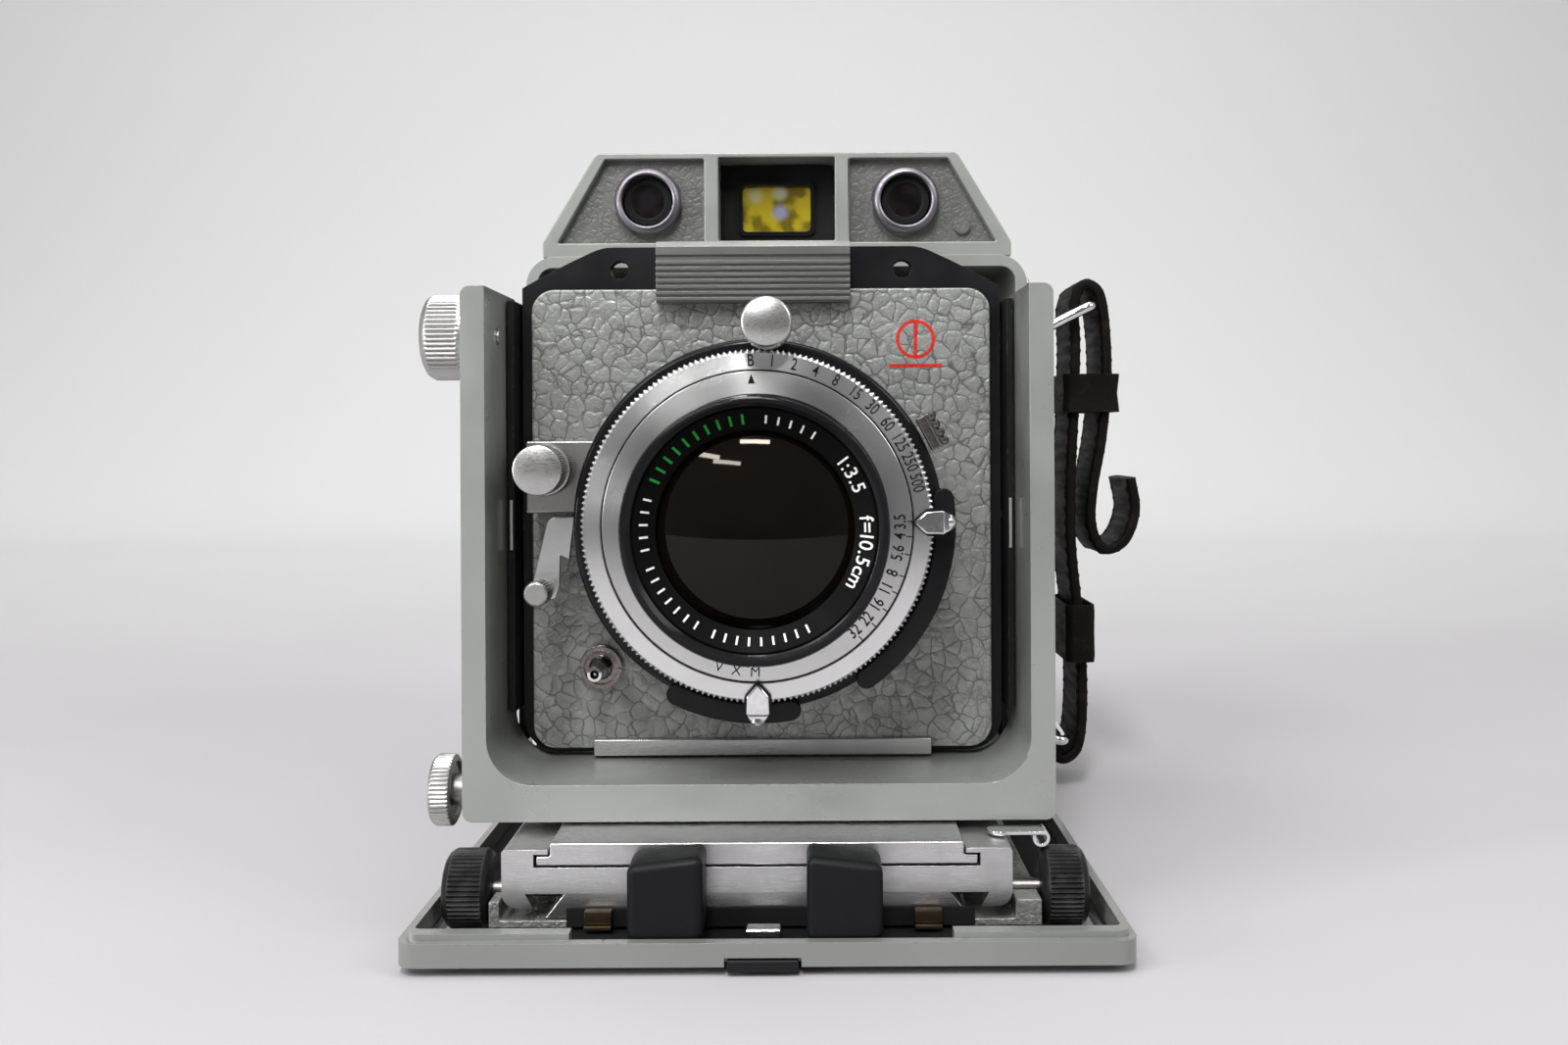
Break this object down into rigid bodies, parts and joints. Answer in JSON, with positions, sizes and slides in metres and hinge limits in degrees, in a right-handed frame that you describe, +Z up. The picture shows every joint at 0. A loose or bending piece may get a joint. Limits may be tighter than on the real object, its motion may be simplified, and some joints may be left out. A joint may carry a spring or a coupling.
{
  "type": "large format view camera",
  "caption": "Folding large format view camera, drop bed open, with leaf-shutter lens on a U-shaped front standard, bellows, coupled rangefinder, revolving back and leather hand strap.",
  "frame": {"origin": "middle of the underside of the base plate, the face the body stands on", "axes": "+Z up, -Y the way the lens looks, +X to the right of a person who faces the lens"},
  "size_m": [0.1371, 0.1666, 0.1374],
  "materials": {
    "paint": "satin grey enamel",
    "hammertone": "grey hammered enamel",
    "black_paint": "satin black enamel",
    "aluminium": "satin",
    "chrome": "polished",
    "black_plastic": "matte",
    "leather": "worn",
    "bellows_cloth": "matte",
    "lens_glass": "coated",
    "amber_glass": "coated",
    "ground_glass": "frosted"
  },
  "bodies": {
    "camera_body": {"body_shell": "paint", "base_plate": "black_paint", "rangefinder_housing": "paint", "window_bezel_left": "aluminium", "window_bezel_right": "aluminium", "window_glass_left": "lens_glass", "window_glass_right": "lens_glass", "viewfinder_glass": "amber_glass", "eyepiece_frame": "black_plastic", "bed_hinge_pin": "chrome", "bellows": "bellows_cloth", "strap_bracket_upper": "chrome", "strap_bracket_lower": "chrome", "hand_strap": "leather", "strap_keeper_upper": "leather", "strap_keeper_lower": "leather"},
    "bed_button": {"bed_release_button": "chrome"},
    "back": {"revolving_frame": "paint", "ground_glass": "ground_glass", "focusing_hood": "black_paint"},
    "back_hood_lid": {"hood_lid": "black_paint"},
    "upper_back_lock": {"back_lock_upper": "aluminium"},
    "lower_back_lock": {"back_lock_lower": "aluminium"},
    "bed": {"bed_tray": "paint", "track_base": "hammertone", "track_guide": "aluminium"},
    "foot": {"front_foot": "black_paint"},
    "left_strut": {"strut_left": "chrome"},
    "right_strut": {"strut_right": "chrome"},
    "focus_knobs": {"focus_shaft": "chrome", "focus_knob_left": "black_plastic", "focus_knob_right": "black_plastic"},
    "rail": {"focus_rail": "aluminium"},
    "focus_lock": {"focus_lock_lever": "chrome"},
    "left_grip": {"finger_grip_left": "black_plastic"},
    "right_grip": {"finger_grip_right": "black_plastic"},
    "shoe": {"shoe_plate": "aluminium"},
    "shift": {"shift_plate": "chrome"},
    "standard": {"yoke": "paint"},
    "rise_knob": {"rise_knob": "aluminium"},
    "lock_knob": {"lock_knob": "aluminium"},
    "rise": {"rise_frame": "aluminium"},
    "lens_carrier": {"carrier_plate": "black_paint", "lens_board": "hammertone", "retaining_strip": "aluminium", "shutter_housing": "black_paint", "scale_ring": "aluminium", "front_barrel": "black_paint", "front_element": "lens_glass", "rear_cell": "black_paint", "release_block": "aluminium", "flash_socket": "chrome"},
    "board_lock": {"board_lock": "aluminium"},
    "speed_ring": {"speed_ring": "aluminium"},
    "aperture_lever": {"aperture_lever": "chrome"},
    "sync_lever": {"sync_lever": "chrome"},
    "cocking_lever": {"cocking_lever": "chrome"},
    "release_lever": {"release_lever": "aluminium"},
    "preview_knob": {"preview_knob": "aluminium"},
    "cable_release_knob": {"cable_release_knob": "aluminium"}
  },
  "joints": [
    {"name": "bed_button_press", "type": "slide", "parent": "camera_body", "child": "bed_button", "axis": [1, 0, 0], "range_m": [0, 0.0015], "stiffness_N_per_m": 800, "springref_m": -0.001},
    {"name": "back_turn", "type": "hinge", "parent": "camera_body", "child": "back", "pos_m": [0, 0.0313, 0.06], "axis": [0, 1, 0], "range_deg": [0, 90]},
    {"name": "hood_lid_open", "type": "hinge", "parent": "back", "child": "back_hood_lid", "pos_m": [0, 0.0465, 0.092], "axis": [1, 0, 0], "range_deg": [0, 100]},
    {"name": "upper_back_lock_slide", "type": "slide", "parent": "back", "child": "upper_back_lock", "axis": [1, 0, 0], "range_m": [0, 0.004]},
    {"name": "lower_back_lock_slide", "type": "slide", "parent": "back", "child": "lower_back_lock", "axis": [1, 0, 0], "range_m": [0, 0.004]},
    {"name": "bed_drop", "type": "hinge", "parent": "camera_body", "child": "bed", "pos_m": [0, -0.0332, 0.0036], "axis": [1, 0, 0], "range_deg": [0, 15], "deforming": ["bellows"]},
    {"name": "foot_fold", "type": "hinge", "parent": "bed", "child": "foot", "pos_m": [-0.0006, -0.097, 0.0007], "axis": [1, 0, 0], "range_deg": [0, 90]},
    {"name": "left_strut_turn", "type": "hinge", "parent": "bed", "child": "left_strut", "pos_m": [-0.0483, -0.043, 0.005], "axis": [1, 0, 0], "range_deg": [-15, 0]},
    {"name": "right_strut_turn", "type": "hinge", "parent": "bed", "child": "right_strut", "pos_m": [0.0483, -0.043, 0.005], "axis": [1, 0, 0], "range_deg": [-15, 0]},
    {"name": "focus_slide", "type": "slide", "parent": "bed", "child": "rail", "axis": [0, -1, 0], "range_m": [0, 0.04], "deforming": ["bellows"]},
    {"name": "focus_knob_turn", "type": "hinge", "parent": "bed", "child": "focus_knobs", "pos_m": [-0.0006, -0.099, 0.007], "axis": [1, 0, 0], "range_deg": [0, 805]},
    {"name": "focus_lock_turn", "type": "hinge", "parent": "rail", "child": "focus_lock", "pos_m": [0.0364, -0.099, 0.0157], "axis": [0, 0, 1], "range_deg": [-20, 0]},
    {"name": "left_grip_squeeze", "type": "slide", "parent": "rail", "child": "left_grip", "axis": [1, 0, 0], "range_m": [0, 0.0025], "stiffness_N_per_m": 800, "springref_m": -0.001},
    {"name": "right_grip_squeeze", "type": "slide", "parent": "rail", "child": "right_grip", "axis": [-1, 0, 0], "range_m": [0, 0.0025], "stiffness_N_per_m": 800, "springref_m": -0.001},
    {"name": "standard_slide", "type": "slide", "parent": "rail", "child": "shoe", "axis": [0, 1, 0], "range_m": [0, 0.014], "deforming": ["bellows"]},
    {"name": "shift_slide", "type": "slide", "parent": "shoe", "child": "shift", "axis": [1, 0, 0], "range_m": [-0.008, 0.008], "deforming": ["bellows"]},
    {"name": "swing_turn", "type": "hinge", "parent": "shift", "child": "standard", "pos_m": [-0.0018, -0.084, 0.017], "axis": [0, 0, 1], "range_deg": [-12, 12], "deforming": ["bellows"]},
    {"name": "rise_slide", "type": "slide", "parent": "standard", "child": "rise", "axis": [0, 0, 1], "range_m": [0, 0.028], "deforming": ["bellows"]},
    {"name": "rise_knob_turn", "type": "hinge", "parent": "standard", "child": "rise_knob", "pos_m": [-0.0514, -0.086, 0.0948], "axis": [1, 0, 0], "range_deg": [0, 460]},
    {"name": "lock_knob_turn", "type": "hinge", "parent": "standard", "child": "lock_knob", "pos_m": [-0.0519, -0.086, 0.0194], "axis": [1, 0, 0], "range_deg": [0, 90]},
    {"name": "tilt_turn", "type": "hinge", "parent": "rise", "child": "lens_carrier", "pos_m": [-0.0018, -0.0724, 0.0638], "axis": [1, 0, 0], "range_deg": [-8, 8], "deforming": ["bellows"]},
    {"name": "board_lock_slide", "type": "slide", "parent": "lens_carrier", "child": "board_lock", "axis": [0, 0, 1], "range_m": [0, 0.004], "stiffness_N_per_m": 500, "springref_m": -0.002},
    {"name": "speed_ring_turn", "type": "hinge", "parent": "lens_carrier", "child": "speed_ring", "pos_m": [-0.0018, -0.096, 0.0638], "axis": [0, -1, 0], "range_deg": [0, 76]},
    {"name": "aperture_lever_turn", "type": "hinge", "parent": "lens_carrier", "child": "aperture_lever", "pos_m": [-0.0018, -0.098, 0.0638], "axis": [0, 1, 0], "range_deg": [0, 50]},
    {"name": "sync_lever_turn", "type": "hinge", "parent": "lens_carrier", "child": "sync_lever", "pos_m": [-0.0018, -0.098, 0.0638], "axis": [0, 1, 0], "range_deg": [0, 16]},
    {"name": "cocking_lever_turn", "type": "hinge", "parent": "lens_carrier", "child": "cocking_lever", "pos_m": [-0.0018, -0.094, 0.0638], "axis": [0, -1, 0], "range_deg": [0, 40], "stiffness_Nm_per_rad": 0.02, "springref_deg": -5.73},
    {"name": "release_lever_press", "type": "hinge", "parent": "lens_carrier", "child": "release_lever", "pos_m": [-0.0018, -0.0875, 0.0638], "axis": [0, -1, 0], "range_deg": [0, 8], "stiffness_Nm_per_rad": 0.05, "springref_deg": -5.73},
    {"name": "preview_knob_turn", "type": "hinge", "parent": "lens_carrier", "child": "preview_knob", "pos_m": [-0.0001, -0.09, 0.0958], "axis": [0, 1, 0], "range_deg": [0, 90]},
    {"name": "cable_release_knob_turn", "type": "hinge", "parent": "lens_carrier", "child": "cable_release_knob", "pos_m": [-0.0368, -0.092, 0.0728], "axis": [0, 1, 0], "continuous": true}
  ],
  "couplings": [
    {"joint": "left_strut_turn", "follows": "bed_drop", "ratio": -1},
    {"joint": "right_strut_turn", "follows": "bed_drop", "ratio": -1},
    {"joint": "focus_knob_turn", "follows": "focus_slide", "rad_per_m": 349.07},
    {"joint": "rise_knob_turn", "follows": "rise_slide", "rad_per_m": 285.71}
  ]
}
